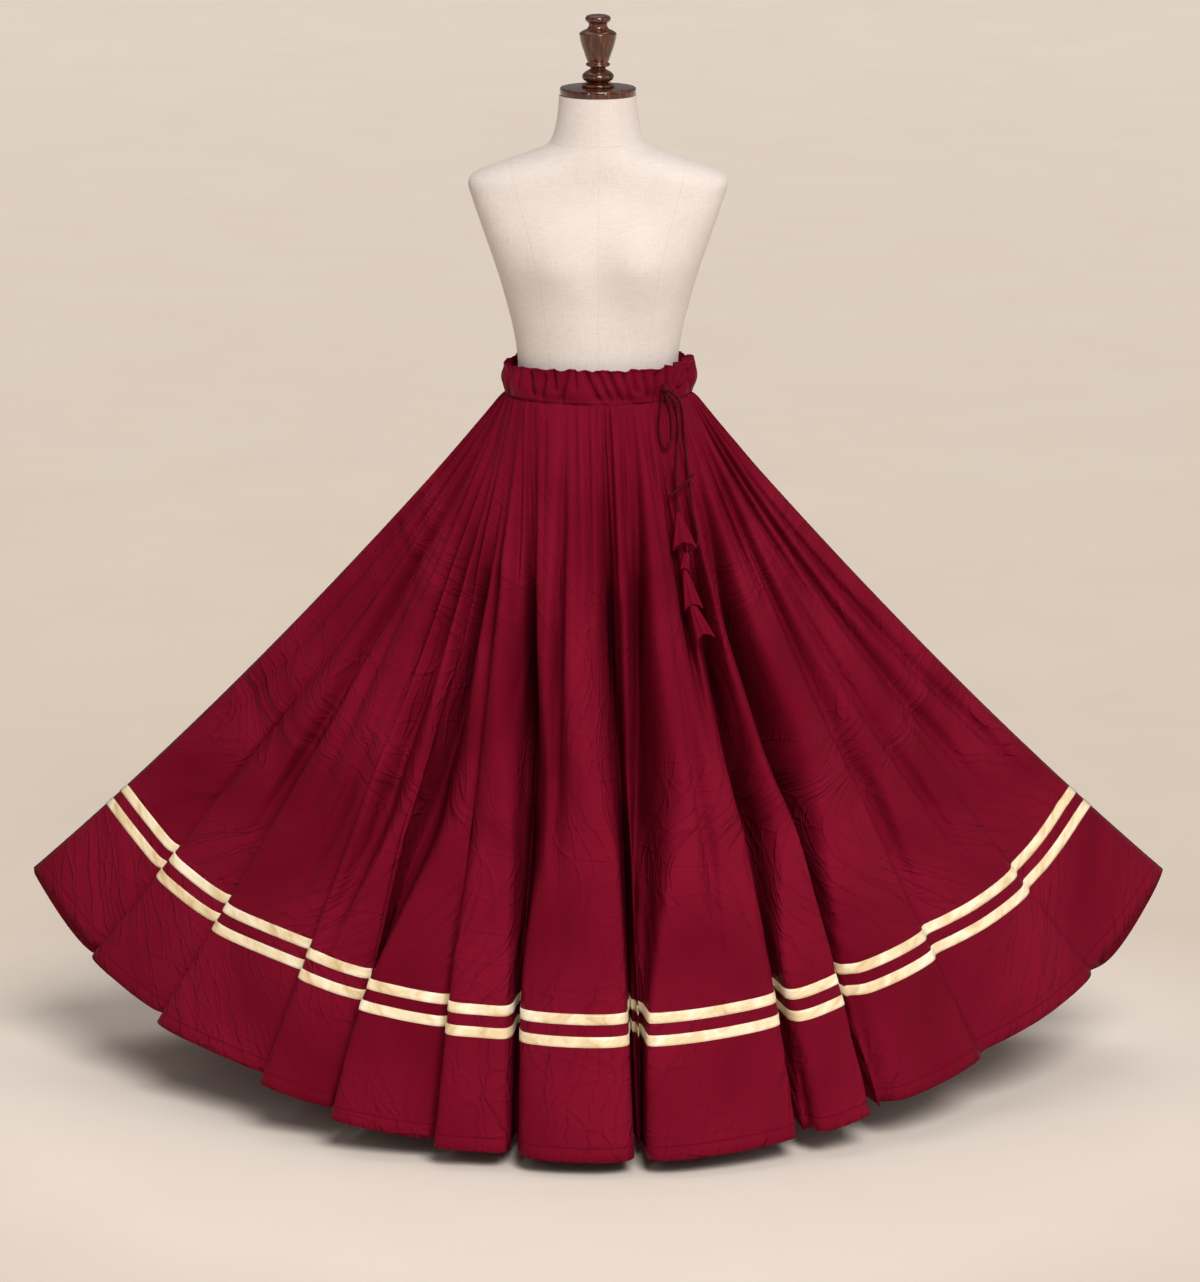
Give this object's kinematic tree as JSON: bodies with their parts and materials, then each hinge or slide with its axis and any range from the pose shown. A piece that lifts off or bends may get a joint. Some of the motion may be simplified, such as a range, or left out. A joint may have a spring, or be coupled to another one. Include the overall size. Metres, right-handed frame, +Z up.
{
  "type": "maxi skirt on a limbless dress form",
  "caption": "Full-flare floor-length skirt with a gathered drawstring waist and ribbons above the hem, on a limbless dress form with a turned finial, a pole and a round base.",
  "frame": {"origin": "centre of the base's underside, on the floor under the pole", "axes": "+Z up, the front of the skirt towards -Y, +X towards the side where the drawstring hangs, which is the wearer's left"},
  "size_m": [1.7439, 0.8924, 1.6448],
  "materials": {
    "maroon_taffeta": "crisp, slightly lustrous taffeta",
    "champagne_satin": "satin ribbon",
    "linen_canvas": "matt canvas",
    "dark_walnut": "gloss lacquer",
    "painted_steel": "satin paint"
  },
  "bodies": {
    "root": {"form_base": "painted_steel", "form_pole": "painted_steel", "form_torso": "linen_canvas", "form_neck_cap": "dark_walnut", "form_finial": "dark_walnut", "skirt_back": "maroon_taffeta", "skirt_front": "maroon_taffeta", "skirt_waistband": "maroon_taffeta", "ribbon_upper_back": "champagne_satin", "ribbon_upper_front": "champagne_satin", "ribbon_lower_back": "champagne_satin", "ribbon_lower_front": "champagne_satin", "drawstring_knot": "maroon_taffeta", "drawstring_loop": "maroon_taffeta", "drawstring_end_short": "maroon_taffeta", "drawstring_end_long": "maroon_taffeta", "drawstring_tie": "maroon_taffeta", "tassel_upper": "maroon_taffeta", "tassel_twist": "maroon_taffeta", "tassel_middle": "maroon_taffeta", "tassel_lower": "maroon_taffeta"}
  },
  "joints": []
}
